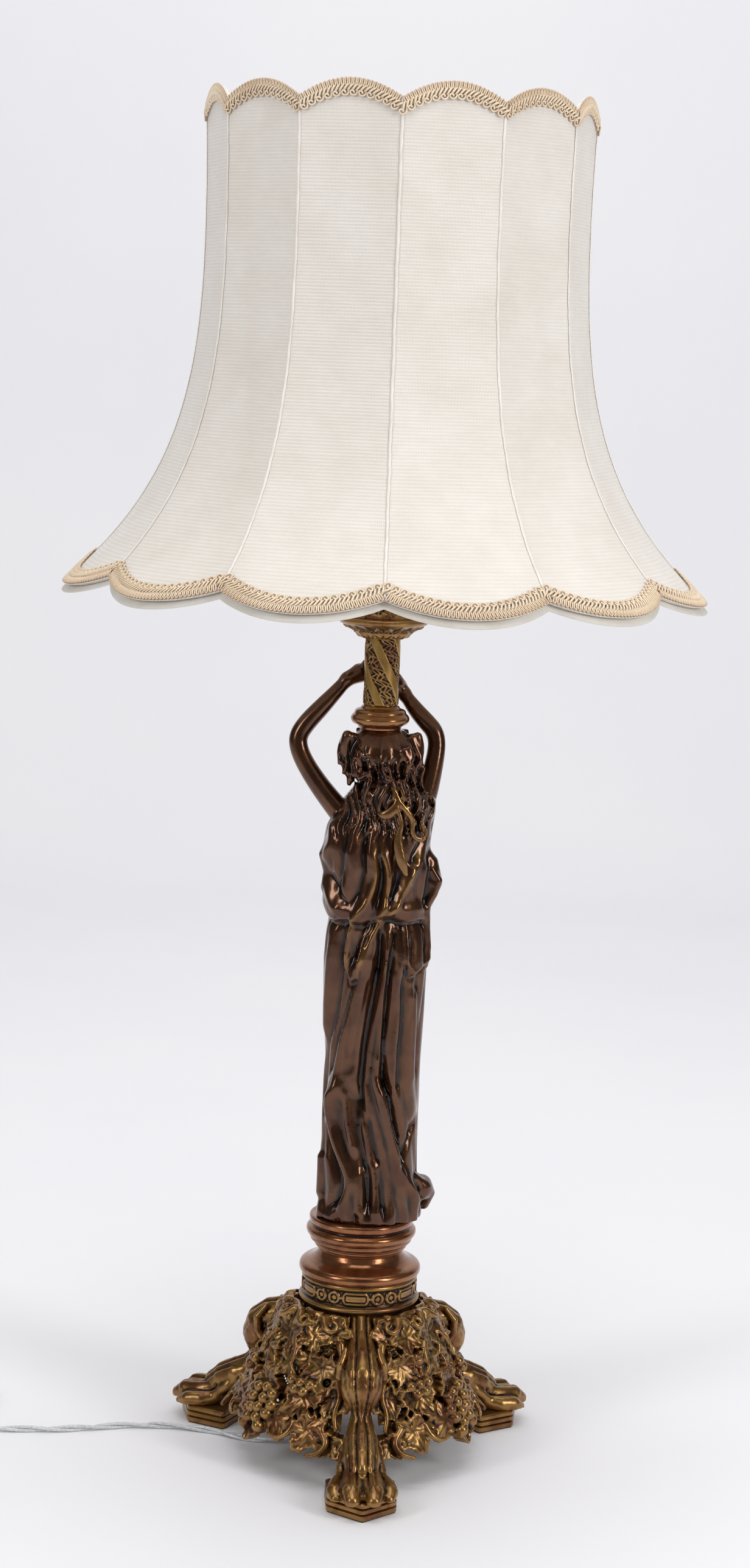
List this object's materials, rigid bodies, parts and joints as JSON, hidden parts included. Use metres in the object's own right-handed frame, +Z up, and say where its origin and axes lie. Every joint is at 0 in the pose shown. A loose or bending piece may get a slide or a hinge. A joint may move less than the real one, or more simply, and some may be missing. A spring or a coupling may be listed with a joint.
{
  "type": "figural table lamp",
  "caption": "Table lamp: a draped bronze woman on a paw-footed tripod carries a short column and a scalloped bell shade of off-white fabric with braid.",
  "frame": {"origin": "on the floor under the lamp's vertical axis, at the centre of its base", "axes": "+Z up along the lamp's axis; +Y is the way the figure faces, so the picture looks along +Y at its back; +X is to the right in that view"},
  "size_m": [0.6148, 0.4608, 1.0051],
  "materials": {
    "dark_bronze": "dark brown patinated cast bronze",
    "gilt_bronze": "worn gilt cast bronze",
    "red_bronze": "copper-red polished cast bronze",
    "zinc_steel": "zinc plated",
    "felt": "wool felt",
    "brass": "satin",
    "card": "insulating card",
    "porcelain": "glazed",
    "clear_flex": "clear insulation over bright wire",
    "black_rubber": "matte",
    "moulded_plastic": "moulded",
    "black_plastic": "moulded",
    "frosted_glass": "frosted inside",
    "nickel_cap": "nickel plated",
    "frame_wire": "white coated wire",
    "silk_cover": "ribbed off-white weave",
    "white_lining": "smooth white",
    "gimp_braid": "beige-gold gimp braid"
  },
  "bodies": {
    "base": {"felt_pads": "felt", "tripod_hub": "zinc_steel", "leg_screws": "zinc_steel", "vine_screws": "zinc_steel", "paw_leg_back": "gilt_bronze", "paw_leg_right": "gilt_bronze", "paw_leg_left": "gilt_bronze", "vine_panel_back": "gilt_bronze", "vine_panel_right": "gilt_bronze", "vine_panel_left": "gilt_bronze", "frieze_collar": "gilt_bronze", "socle_flare": "red_bronze", "socle_rings": "red_bronze", "figure_body": "dark_bronze", "arm_left": "dark_bronze", "arm_right": "dark_bronze", "head_ring": "dark_bronze", "spiral_column": "dark_bronze", "capital_pan": "dark_bronze", "capital_dome": "dark_bronze", "stem_pipe": "zinc_steel", "base_washer": "zinc_steel", "base_nut": "zinc_steel", "lock_nut": "zinc_steel", "harp_saddle": "zinc_steel", "socket_cap": "brass", "socket_shell": "brass", "socket_liner": "card", "socket_core": "porcelain", "screw_shell": "brass", "centre_contact": "brass", "cord_bushing": "black_rubber", "inner_lead": "clear_flex", "cord_run": "clear_flex", "cord_coil": "clear_flex", "cord_tail": "clear_flex", "cord_tie": "black_rubber", "plug_body": "moulded_plastic", "plug_blades": "brass"},
    "knob": {"switch_knob": "black_plastic"},
    "bulb": {"bulb_glass": "frosted_glass", "bulb_cap": "nickel_cap"},
    "harp": {"harp_wire": "brass", "harp_stud": "brass"},
    "sleeve_left": {"harp_sleeve_left": "brass"},
    "sleeve_right": {"harp_sleeve_right": "brass"},
    "shade": {"shade_spider": "frame_wire", "shade_top_ring": "frame_wire", "shade_bottom_ring": "frame_wire", "shade_ribs": "frame_wire", "shade_cover": "silk_cover", "shade_lining": "white_lining", "braid_top": "gimp_braid", "braid_bottom": "gimp_braid"},
    "finial": {"finial": "brass"}
  },
  "joints": [
    {"name": "switch_knob_turn", "type": "hinge", "parent": "base", "child": "knob", "pos_m": [0, -0.03, 0.66885], "axis": [0, -1, 0], "continuous": true},
    {"name": "bulb_turn", "type": "hinge", "parent": "base", "child": "bulb", "pos_m": [0, 0, 0.7], "axis": [0, 0, 1], "continuous": true},
    {"name": "harp_lift", "type": "slide", "parent": "base", "child": "harp", "axis": [0, 0, 1], "range_m": [0, 0.018]},
    {"name": "sleeve_left_lift", "type": "slide", "parent": "harp", "child": "sleeve_left", "axis": [0, 0, 1], "range_m": [0, 0.012]},
    {"name": "sleeve_right_lift", "type": "slide", "parent": "harp", "child": "sleeve_right", "axis": [0, 0, 1], "range_m": [0, 0.012]},
    {"name": "shade_turn", "type": "hinge", "parent": "harp", "child": "shade", "pos_m": [0, 0, 0.96], "axis": [0, 0, 1], "continuous": true},
    {"name": "finial_turn", "type": "hinge", "parent": "harp", "child": "finial", "pos_m": [0, 0, 0.97], "axis": [0, 0, 1], "continuous": true}
  ]
}
